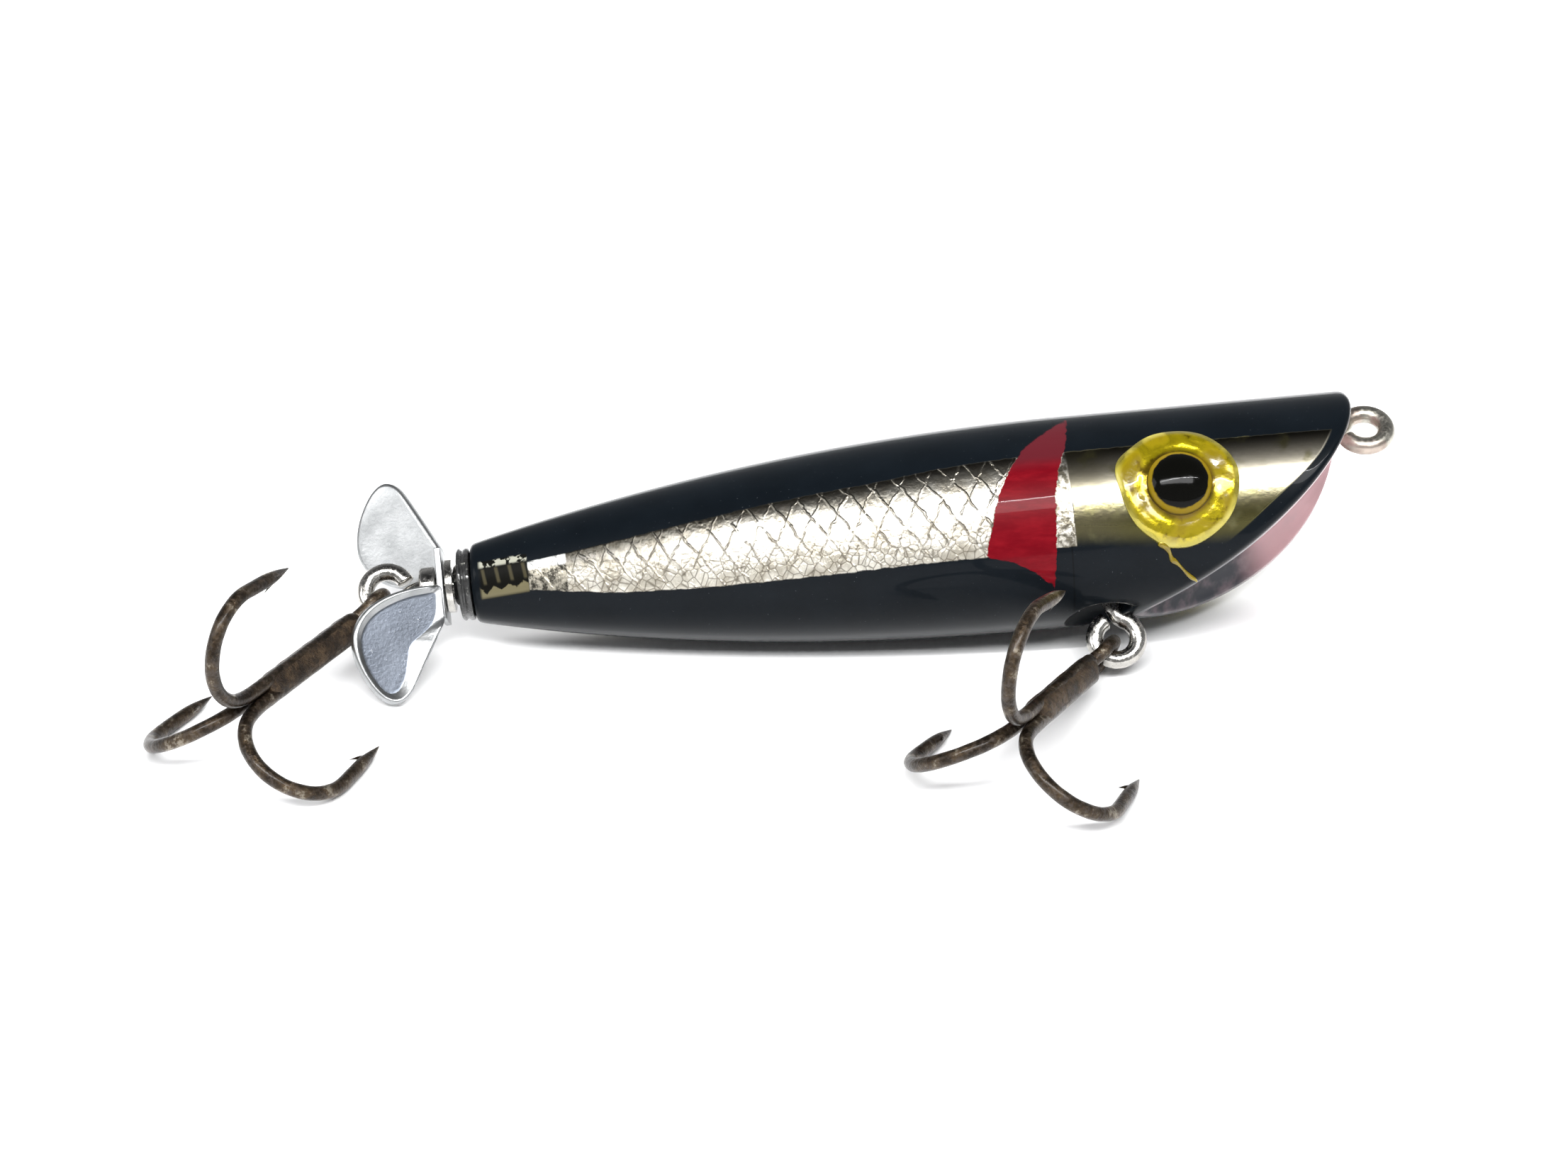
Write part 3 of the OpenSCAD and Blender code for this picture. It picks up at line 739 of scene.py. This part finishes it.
def resin_disc(side, word, seed):
    """Resin disc with a wrinkled top, a spill behind it and a drip below."""
    nr, na = 26, 96
    ang = circle(na)
    edge = EYE_R + 0.04 * np.sin(3 * ang + 1.0 + seed) + 0.03 * np.sin(7 * ang + seed)
    edge = edge + 0.5 * hump_round(ang, 2.72, 0.30) + 0.12 * hump_round(ang, 4.38, 0.13)
    P, r_at = [], []
    for i in range(nr + 1):
        q = i / nr
        rr = edge * min(1.0, q / 0.93)
        x, z = EYE_X + rr * np.cos(ang), EYE_Z + rr * np.sin(ang)
        lift = 0.36 - 0.12 * hump(rr, 3.1, 0.35) + 0.10 * hump(rr, 4.4, 0.4)
        if i == nr:
            lift = np.full(na, -0.25)
        elif q > 0.88:
            lift = lift * (0.55 if q > 0.92 else 0.88)
        base = np.stack([x, np.full(na, 9.0 * side), z], 1)
        lift = lift + (0.10 * wob(base, 0.42, seed) + 0.05 * wob(base, 1.1, seed + 5)) * (q < 0.9)
        P.append(flank(x, z, lift, side))
        r_at.append(rr / edge * EYE_R)
    piece("eye_resin_" + word, lay(np.concatenate(P)), strip_faces(nr + 1, na, True), EYE_MAT,
          "lure_body", ["eye_" + word], subsurf=1, attrs=dict(r=np.concatenate(r_at)))


def resin_run():
    """A run of resin below the right eye."""
    t = np.linspace(0, 1, 26)
    x = EYE_X - 2.3 + 3.1 * t + 0.22 * np.sin(9 * t)
    z = EYE_Z - 4.5 - 2.9 * t + 0.12 * np.sin(14 * t)
    V, F = sweep(flank(x, z, 0.02, -1), 0.27 * (1 - 0.5 * t) * (1 + 0.35 * np.sin(17 * t)), 10)
    piece("eye_resin_run", lay(V), F, EYE_MAT, "lure_body", [], subsurf=1,
          attrs=dict(r=np.full(len(V), 2.98)))


def pupil_dome(side, word):
    nr, na = 18, 64
    ang = circle(na)
    tilts = [i / nr * math.radians(88) for i in range(nr + 1)]
    hoops = [(PUPIL_R * math.sin(t), 0.18 + PUPIL_H * math.cos(t) ** 0.9) for t in tilts]
    hoops.append((PUPIL_FOOT_R, 0.05))
    P = [flank(EYE_X + r * np.cos(ang), EYE_Z + r * np.sin(ang), lift, side) for r, lift in hoops]
    piece("pupil_dome_" + word, lay(np.concatenate(P)), strip_faces(nr + 2, na, True), PUPIL_MAT,
          "lure_body", ["pupil_" + word], subsurf=1,
          attrs=dict(r=np.repeat([r for r, lift in hoops], na)))


resin_disc(-1, "right", 0.0)
resin_run()
pupil_dome(-1, "right")
resin_disc(1, "left", 2.3)
pupil_dome(1, "left")


# ---------------------------------------------------------------- metals
def nickel(name, tint=(0.66, 0.64, 0.60), red=0.0, rough=0.16):
    """Mottled nickel, with patches of painted reflection of the pink mouth where red is above 0."""
    p = Paint(name, Metallic=1.0, IOR=1.8)
    f = p.noise(4.0, detail=3)
    col = p.mix(p.step(p.noise(0.8, detail=5, rough=0.65), 0.35, 0.7), tint, tuple(c * 0.62 for c in tint))
    if red:
        # painted reflection: patches of the pink mouth's colour on the wire
        pink_reflection = p.step(p.noise(0.35, detail=2), 0.50, 0.62)
        col = p.mix(p.times(pink_reflection, red), col, (0.35, 0.12, 0.09))
    return p.out(Base_Color=col, Roughness=p.blend(p.step(f, 0.4, 0.7), rough, rough + 0.16),
                 Normal=p.bump(f, 0.12, 0.00005))


def plain(name, c0, c1, rough, metal=0.0):
    """Lightly mottled finish for the pieces inside."""
    p = Paint(name, Metallic=metal)
    n = p.noise(1.0, detail=4)
    return p.out(Base_Color=p.mix(n, c0, c1), Roughness=p.blend(n, rough * 0.8, rough * 1.2),
                 Normal=p.bump(n, 0.2, 0.0001))


def finish_cad(name, mat):
    """Give a CAD node that stays its material."""
    o = frame["nodes"][name]
    o.data.materials.clear()
    o.data.materials.append(mat)


NICKEL, NICKEL_WORN_PINK_REFLECTION = nickel("nickel_wire"), nickel("nickel_worn_pink_reflection", (0.58, 0.56, 0.49), 0.25, 0.32)
FOIL_MAT = plain("inner_foil", (0.6, 0.57, 0.5), (0.8, 0.78, 0.7), 0.25, 1.0)
HFOIL_MAT = plain("inner_head_foil", (0.45, 0.42, 0.25), (0.65, 0.6, 0.4), 0.25, 1.0)
for word in ("right", "left"):
    finish_cad("foil_" + word, FOIL_MAT)
    finish_cad("head_foil_" + word, HFOIL_MAT)
WALL_MAT = plain("bulkhead_grey", (0.35, 0.35, 0.35), (0.45, 0.45, 0.45), 0.6)
LEAD_MAT = plain("ballast_metal", (0.25, 0.25, 0.25), (0.4, 0.4, 0.38), 0.45, 1.0)
finish_cad("bulkhead", WALL_MAT)
finish_cad("ballast_slug", LEAD_MAT)
finish_cad("front_washer", NICKEL)


# ---------------------------------------------------------------- screw eyes
WIRE_R, RING_R = 0.75, 1.85
NOSE_X, NOSE_Z, NOSE_TURN = 78.8, 5.4, -22.0
BELLY_RING_Z = -10.9
TAIL_RING_X = 6.2


def screw_eye(name, node, centre, turn, along, length, mat):
    """Bent-wire ring with a plain shank: along is the shank's direction in body axes."""
    t = math.radians(turn)
    centre, along = np.array(centre), np.array(along, float)
    left = np.array([0, 1.0, 0])
    across = np.cross(along, left) * math.cos(t) + left * math.sin(t)
    line = []
    for i in range(65):
        g = math.radians(20 + 326 * i / 64)
        line.append(centre + RING_R * (along * math.cos(g) + across * math.sin(g)))
    end = line[-1]
    root = centre + along * (RING_R + 1.0)
    far = centre + along * length
    line += [end + (root - end) * 0.35 + along * 0.15, end + (root - end) * 0.75 + along * 0.1]
    line += [root, (root + far) / 2, far]
    Q, R = respace(line, [WIRE_R * 1.015] * len(line), 0.22)
    V, F = sweep(Q, R, 22, bumps=0.016, seed=len(name))
    piece(name, lay(V), F, mat, "lure_body", [node], subsurf=1)


screw_eye("nose_ring_wire", "nose_screw_eye", (NOSE_X, 0, NOSE_Z), NOSE_TURN, (-1, 0, 0), 8.0, NICKEL_WORN_PINK_REFLECTION)
screw_eye("belly_ring_wire", "belly_screw_eye", (BELLY_RING_X, 0, BELLY_RING_Z), 0, (0, 0, 1), 5.5, NICKEL)
screw_eye("tail_ring_wire", "tail_screw_eye", (-TAIL_RING_X, 0, 0), 0, (1, 0, 0), 8.0, NICKEL)


# ---------------------------------------------------------------- treble hooks
HOOK_R = 0.6
SHANK, SHANK_OFF = 17.4, HOOK_R * 1.2     # shank's length, and its distance from the axis
EYE_LOOP = 1.6
BEND_R, POINT = 4.65, 6.0
FLARE, FLARE_R = math.radians(9.0), 12.0  # how far the shank spreads before the bend
LEAN_IN = math.radians(5.0)               # how far the point leans back to the shank
LINK = 0.12                               # slack between the two rings
BRAZE_R, BRAZE_FOOT, BRAZE_TOP = 1.19, 1.2 - SHANK, -3.2
# How each treble lies: heading, rise, and the turn of its eye about the shank, degrees.
BELLY_SET = (-119.47, 12.81, -156.2)
TAIL_SET = (-120.60, 4.58, -158.5)


def spoke(t):
    return np.array([math.cos(t), math.sin(t)])


def rot_z(p, deg):
    t = math.radians(deg)
    c, s = math.cos(t), math.sin(t)
    return np.array([p[0] * c - p[1] * s, p[0] * s + p[1] * c, p[2]])


def upright(line, az):
    """Flat (distance, height) points to 3-D, turned round the shank."""
    return [rot_z((p[0], 0, p[1]), az) for p in line]


def hook_line(az):
    """Centre line, radii and barb of one hook, from the shank to the point."""
    c1 = np.array([SHANK_OFF + FLARE_R, -SHANK])
    c2 = c1 - (FLARE_R - BEND_R) * spoke(FLARE)
    line = [c1 - FLARE_R * spoke(FLARE * i / 4) for i in range(4)]
    line += [c2 - BEND_R * spoke(FLARE + (math.pi + LEAN_IN - FLARE) * i / 40) for i in range(41)]
    radii = [HOOK_R] * len(line)
    start = line[-1]
    ahead = np.array([-math.sin(LEAN_IN), math.cos(LEAN_IN)])
    inward = np.array([-math.cos(LEAN_IN), -math.sin(LEAN_IN)])
    for q, k in ((0.25, 1), (0.42, 0.98), (0.55, 0.9), (0.66, 0.78), (0.8, 0.52), (0.92, 0.25), (1, 0.05)):
        line.append(start + ahead * POINT * q)
        radii.append(HOOK_R * k)
    # barb cut from the inner side of the point
    root = start + ahead * POINT * 0.70
    tip = start + ahead * POINT * 0.42 + inward * 1.02
    barb = [root, (root + tip) / 2 + inward * 0.08, tip]
    return upright(line, az), radii, upright(barb, az)


def shank_line(az, top):
    points = upright([(SHANK_OFF, z) for z in np.linspace(-SHANK + 1.0, top, 18)], az)
    return points, [HOOK_R] * len(points)


def loop_line(turn):
    points = upright([EYE_LOOP * spoke(math.radians(310 + 280 * i / 22)) for i in range(23)], turn)
    return points, [HOOK_R] * len(points)


def rev(part):
    return part[0][::-1], part[1][::-1]


def hook_wire(parts, barbs, seed):
    """One wire through the parts, with its barbs."""
    points = sum((list(q[0]) for q in parts), [])
    radii = sum((list(q[1]) for q in parts), [])
    Q, rr = respace(points, radii, 0.3)
    meshes = [sweep(Q, rr * 1.01, 16, bumps=0.035, seed=seed)]
    for barb in barbs:
        Q, rr = respace(barb, [0.30, 0.22, 0.03], 0.12)
        meshes.append(sweep(Q, rr * np.linspace(1, 0.5, len(rr)), 8))
    return join(*meshes)


def braze_mesh(seed):
    """A lobed filler between the three shanks, thinning out at both ends."""
    heights = [BRAZE_FOOT, *np.linspace(BRAZE_FOOT + 0.05, BRAZE_TOP - 0.05, 60), BRAZE_TOP]
    na, V = 48, []
    for z in heights:
        end = max(min(z - BRAZE_FOOT, BRAZE_TOP - z, 1.0), 0.0)
        for t in circle(na):
            r = (BRAZE_R + 0.05 * math.cos(3 * t)) * (0.62 + 0.38 * math.sqrt(end))
            V.append((r * math.cos(t), r * math.sin(t), z))
    V = np.array(V)
    amp = 0.05 * wob(V, 0.7, seed) + 0.03 * wob(V, 2.0, seed + 10)
    V[:, :2] *= (1 + amp / np.hypot(V[:, 0], V[:, 1]))[:, None]
    return V, strip_faces(len(heights), na, True) + end_caps(len(heights), na)


def hook_paint():
    """Worn bronzed steel: brown, glossy where it is bare."""
    p = Paint("bronzed_hook", IOR=1.5, Coat_Weight=0.25, Coat_Roughness=0.2)
    n = p.noise(0.55, detail=6, rough=0.7)
    f = p.noise(2.4, detail=5, rough=0.7)
    col = p.mix(p.step(n, 0.36, 0.64), (0.016, 0.011, 0.007), (0.066, 0.046, 0.028))
    col = p.mix(p.step(f, 0.52, 0.66), col, (0.035, 0.022, 0.014))
    col = p.mix(p.times(p.step(n, 0.56, 0.66), p.step(f, 0.40, 0.5)), col, (0.22, 0.19, 0.145))
    return p.out(Base_Color=col, Metallic=p.blend(p.step(f, 0.45, 0.65), 0.95, 0.35),
                 Roughness=p.blend(f, 0.16, 0.5), Normal=p.bump(p.plus(f, n), 0.55, 0.00025))


def braze_paint():
    p = Paint("braze_bronze", Metallic=0.55, IOR=1.5)
    n = p.noise(0.5, detail=6, rough=0.75)
    f = p.noise(1.9, detail=5, rough=0.7)
    col = p.mix(p.step(n, 0.38, 0.62), (0.016, 0.010, 0.006), (0.085, 0.055, 0.030))
    col = p.mix(p.step(f, 0.50, 0.62), col, (0.028, 0.017, 0.01))
    return p.out(Base_Color=col, Roughness=p.blend(f, 0.3, 0.7), Normal=p.bump(p.plus(f, n), 0.7, 0.0003))


HOOK_MAT, BRAZE_MAT = hook_paint(), braze_paint()


def treble(body, heading, rise, eye_turn, seed):
    """One treble: a pair bent from one wire with the eye, a single, and the braze."""
    ring = np.array(JOINTS[body + "_swing"]["pos_m"]) / MM
    th, r, b = math.radians(heading), math.radians(rise), math.radians(-90 - rise)
    d = np.array([math.cos(r) * math.cos(th), math.cos(r) * math.sin(th), math.sin(r)])
    seat = ring + RING_R * unit(d - AY * (d @ AY)) + LINK * d
    about_y = np.array([[math.cos(b), 0, math.sin(b)], [0, 1, 0], [-math.sin(b), 0, math.cos(b)]])
    about_z = np.array([[math.cos(th), -math.sin(th), 0], [math.sin(th), math.cos(th), 0], [0, 0, 1]])
    rot = about_z @ about_y

    def part(suffix, mesh, mat, slot, node):
        piece(body + suffix, mesh[0] @ rot.T + seat, mesh[1], mat, body, [body + node], subsurf=1)

    ha, hb, hc = hook_line(0), hook_line(-120), hook_line(120)
    pair = [rev(ha[:2]), shank_line(0, -3.4), loop_line(eye_turn), rev(shank_line(-120, -3.4)), hb[:2]]
    single = [rev(hc[:2]), shank_line(120, -3.9)]
    part("_pair_wire", hook_wire(pair, (ha[2], hb[2]), seed), HOOK_MAT, "bronzed_hook", "_pair")
    part("_single_wire", hook_wire(single, (hc[2],), seed + 3), HOOK_MAT, "bronzed_hook", "_single")
    part("_braze_fill", braze_mesh(seed + 20), BRAZE_MAT, "braze_bronze", "_braze")


treble("belly_hook", *BELLY_SET, 1.0)
treble("tail_hook", *TAIL_SET, 41.0)


# ---------------------------------------------------------------- tail hardware
# Outlines of the turned pieces: place along the axis and radius, mm.
COLLAR = [(-0.42, 0.8), (-0.43, 1.6), (-0.1, 1.72), (0.0, 2.1), (0.02, 2.85), (0.12, 3.06), (0.32, 3.10),
          (0.42, 2.98), (0.5, 2.90), (0.62, 2.96), (0.72, 3.08), (1.0, 3.1), (1.16, 3.05), (1.2, 2.7),
          (1.2, 0.8)]
BARREL = [(-1.87, 0.8), (-1.86, 1.45), (-1.90, 1.68), (-2.05, 1.78), (-2.3, 1.8), (-2.9, 1.8), (-3.1, 1.78),
          (-3.25, 1.66), (-3.3, 1.4), (-3.29, 0.8)]


def lathe(profile, wobble, seed, sides=72):
    """Closed ring of revolution about the body axis, a little out of true."""
    V = np.array([(x, r * math.cos(t), r * math.sin(t)) for x, r in profile for t in circle(sides)])
    amp = wobble * (wob(V, 0.9, seed) + 0.6 * wob(V, 2.6, seed + 4))
    V[:, 1:] *= (1 + amp / np.hypot(V[:, 1], V[:, 2]))[:, None]
    V[:, 0] += 0.5 * amp
    n = len(profile)
    last = (n - 1) * sides
    close = [(last + k, last + (k + 1) % sides, (k + 1) % sides, k) for k in range(sides)]
    return V, strip_faces(n, sides, True) + close


def collar_paint():
    """Gloss black, pitted and flecked with glue."""
    p = Paint("collar_black", Coat_Weight=1.0, Coat_Roughness=0.05, IOR=1.5)
    f = p.noise(2.4, detail=5, rough=0.7)
    col = p.mix(p.step(f, 0.60, 0.68), (0.006, 0.006, 0.006), (0.30, 0.30, 0.27))
    return p.out(Base_Color=col, Roughness=p.blend(f, 0.2, 0.5), Normal=p.bump(f, 0.8, 0.0003))


V, F = lathe(COLLAR, 0.06, 3)
piece("tail_collar_flange", lay(V), F, collar_paint(), "lure_body", ["tail_collar"],
      subsurf=1)
V, F = lathe(BARREL, 0.02, 8)
BARREL_MAT = nickel("barrel_nickel", (0.72, 0.70, 0.66), 0, 0.12)
piece("rear_barrel", lay(V), F, BARREL_MAT, "lure_body", ["rear_bushing"], subsurf=1)


# ---------------------------------------------------------------- propeller
PITCH, PROP_TURN, BLADE_T = 22.0, 10.5, 0.45
FOLD_X, FOLD_Y = -1.45, 2.3
PLATE_LO, PLATE_HI, PLATE_EDGE = (-1.7, -2.45, -3.1), (-1.15, 2.45, 3.1), 0.12
# The blade's outline as quadratic curves: start, handle, end.
LEAF = [([0, 3.2], [2.4, 7.4], [3.4, 9.0]), ([3.4, 9.0], [4.9, 11.2], [6.7, 9.0]),
        ([6.7, 9.0], [8.5, 6.6], [8.2, 4.2]), ([8.2, 4.2], [7.4, 1.0], [2.4, 0.3]),
        ([2.4, 0.3], [1, 0.2], [0, 0.2]), ([0, 0.2], [0, 1.7], [0, 3.2])]
LEAF_MID = np.array([4.4, 4.6])
EDGE_POINTS = 120


def prop_paint():
    """Bright rims round a blue-grey floor painted darker as shade in the pan, finely specked."""
    p = Paint("prop_aluminium", Metallic=1.0)
    n = p.noise(0.5, detail=5, rough=0.6)
    f = p.noise(3.2, detail=4, rough=0.6)
    col = p.mix(p.step(n, 0.35, 0.7), (0.46, 0.47, 0.475), (0.36, 0.37, 0.375))
    # painted shade: the pan's floor is darker than the rims of the same metal
    col = p.mix(p.attr("floor"), col, p.mix(n, (0.105, 0.118, 0.142), (0.14, 0.155, 0.18)))
    col = p.mix(p.step(f, 0.68, 0.74), col, (0.72, 0.74, 0.76))
    return p.out(Base_Color=col, Roughness=p.blend(n, 0.30, 0.42), Normal=p.bump(f, 0.25, 0.00008))


def leaf_edge():
    """Evenly spaced points round the blade's outline."""
    line = []
    for p0, p1, p2 in LEAF:
        for t in np.linspace(0, 1, 40, endpoint=False):
            line.append(np.array(p0) * (1 - t) ** 2 + np.array(p1) * 2 * t * (1 - t) + np.array(p2) * t * t)
    loop = np.vstack([line, line[:1]])
    s = np.concatenate([[0], np.cumsum(np.linalg.norm(np.diff(loop, axis=0), axis=1))])
    t = np.linspace(0, s[-1], EDGE_POINTS, endpoint=False)
    edge = np.stack([np.interp(t, s, loop[:, k]) for k in range(2)], 1)
    for _ in range(2):
        edge = 0.2 * np.roll(edge, 1, axis=0) + 0.6 * edge + 0.2 * np.roll(edge, -1, axis=0)
    return edge


def blade():
    """One blade: a flat floor with a raised flange, wide in front, narrow behind, none at the fold."""
    n, edge = EDGE_POINTS, leaf_edge()
    away = edge - LEAF_MID
    dist = np.linalg.norm(away, axis=1)
    in_front = np.clip((5.2 - edge[:, 0]) / 2.0, 0, 1) * np.clip((edge[:, 1] - 2.2) / 2.2, 0, 1)
    rise = np.clip((edge[:, 0] - 0.15) / 0.9, 0, 1)
    rise = rise * rise * (3 - 2 * rise)
    rise = np.maximum(rise, np.clip((edge[:, 1] - 2.9) / 0.8, 0, 1) * 0.9)
    wide = 0.80 + 0.95 * in_front
    for _ in range(6):
        wide = (np.roll(wide, 1) + wide + np.roll(wide, -1)) / 3
    rows, floor = [], []

    def ring(inset, y, is_floor=0.0):
        q = LEAF_MID + away * (1 - inset / dist)[:, None]
        rows.append(np.stack([q[:, 0], np.broadcast_to(y, n), q[:, 1]], 1))
        floor.append(np.full(n, is_floor))

    for g in (0.12, 0.35, 0.6, 0.8, 0.93):
        ring(dist - (dist - wide) * g, -BLADE_T, 1.0)
    ring(wide + 0.05, -BLADE_T, 1.0)
    ring(wide - 0.06, -BLADE_T - 0.03 * rise)
    for inset, height in ((0.42, 0.50), (0.26, 0.55), (0.08, 0.50), (0.0, 0.36)):
        ring(inset, -BLADE_T - height * rise)
    for inset, y in ((0.0, -0.2), (0.10, -0.04), (0.35, 0.0)):
        ring(inset, y)
    for g in (0.8, 0.5, 0.2):
        ring(dist - (dist - 0.35) * g, 0.0)
    k = len(rows)
    V = np.vstack([*rows, [LEAF_MID[0], -BLADE_T, LEAF_MID[1]], [LEAF_MID[0], 0, LEAF_MID[1]]])
    F = strip_faces(k, n, True)
    F += [(j, (j + 1) % n, k * n) for j in range(n)]
    F += [((k - 1) * n + j, (k - 1) * n + (j + 1) % n, k * n + 1) for j in range(n)]
    V[:, 1] += 0.035 * wob(V, 0.35, 12)
    t = math.radians(180 - PITCH)
    c, s = math.cos(t), math.sin(t)
    V = np.stack([V[:, 0] * c - V[:, 1] * s + FOLD_X, V[:, 0] * s + V[:, 1] * c + FOLD_Y, V[:, 2]], 1)
    return V, F, np.append(np.concatenate(floor), [1.0, 0.0])


def spin(v, deg):
    """Turn about the body axis."""
    t = math.radians(deg)
    c, s = math.cos(t), math.sin(t)
    return np.stack([v[:, 0], v[:, 1] * c - v[:, 2] * s, v[:, 1] * s + v[:, 2] * c], 1)


def plate():
    """The middle of the propeller, a plate with rounded edges."""
    lo, hi = np.array(PLATE_LO), np.array(PLATE_HI)
    bm = bmesh.new()
    bmesh.ops.create_cube(bm, size=1.0)
    for v in bm.verts:
        v.co = Vector((lo + hi) / 2 + np.array(v.co) * (hi - lo))
    bmesh.ops.bevel(bm, geom=bm.edges[:], offset=PLATE_EDGE, segments=3, profile=0.5, affect="EDGES")
    bm.verts.ensure_lookup_table()
    V = np.array([v.co[:] for v in bm.verts])
    F = [tuple(v.index for v in f.verts) for f in bm.faces]
    bm.free()
    return V, F


leaf_v, leaf_f, leaf_floor = blade()
plate_v, plate_f = plate()
V, F = join((leaf_v, leaf_f), (spin(leaf_v, 180), leaf_f), (plate_v, plate_f))
pan_shade_marks = np.concatenate([leaf_floor, leaf_floor, np.zeros(len(plate_v))])
piece("prop_blades", lay(spin(V, PROP_TURN)), F, prop_paint(), "propeller", ["propeller"],
      attrs=dict(floor=pan_shade_marks))


# ---------------------------------------------------------------- floor
FLOOR_HALF = 1.6


def lay_floor():
    bm = bmesh.new()
    bmesh.ops.create_grid(bm, x_segments=8, y_segments=8, size=FLOOR_HALF)
    mesh = bpy.data.meshes.new("floor")
    bm.to_mesh(mesh)
    bm.free()
    floor = bpy.data.objects.new("floor", mesh)
    bpy.context.scene.collection.objects.link(floor)
    p = Paint("floor_white", Roughness=0.6, Specular_IOR_Level=0.2)
    mesh.materials.append(p.out(Base_Color=p.mix(p.noise(0.02), (0.93, 0.935, 0.94), (0.95, 0.95, 0.955))))


lay_floor()
